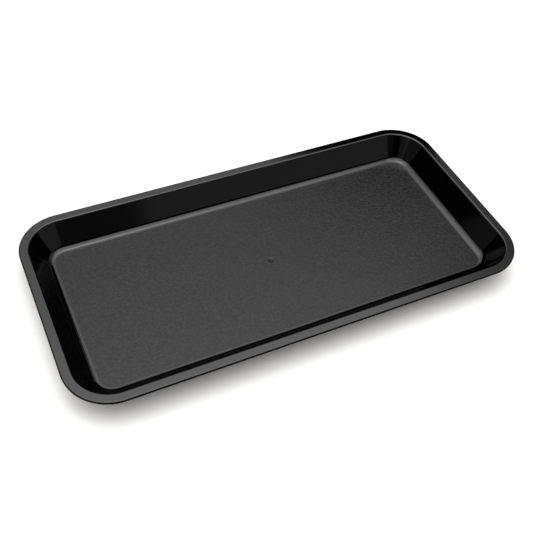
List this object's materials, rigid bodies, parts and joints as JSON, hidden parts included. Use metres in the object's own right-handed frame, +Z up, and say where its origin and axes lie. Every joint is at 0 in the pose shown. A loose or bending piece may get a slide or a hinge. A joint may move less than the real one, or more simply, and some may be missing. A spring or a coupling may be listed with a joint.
{
  "type": "paint tray",
  "caption": "Shallow rectangular paint tray moulded in one piece: level rim, rounded corners, flared glossy walls and a flat fine-grained floor, for loading a small roller or pad.",
  "frame": {"origin": "middle of the underside, in the plane the tray stands on", "axes": "+X along the long sides, +Y along the short sides, +Z up out of the tray's mouth"},
  "size_m": [0.4, 0.2006, 0.0226],
  "materials": {
    "black_polystyrene": "as moulded: polished walls, satin rim and fillet, fine spark-eroded grain on the floor"
  },
  "bodies": {
    "root": {"tray": "black_polystyrene"}
  },
  "joints": []
}
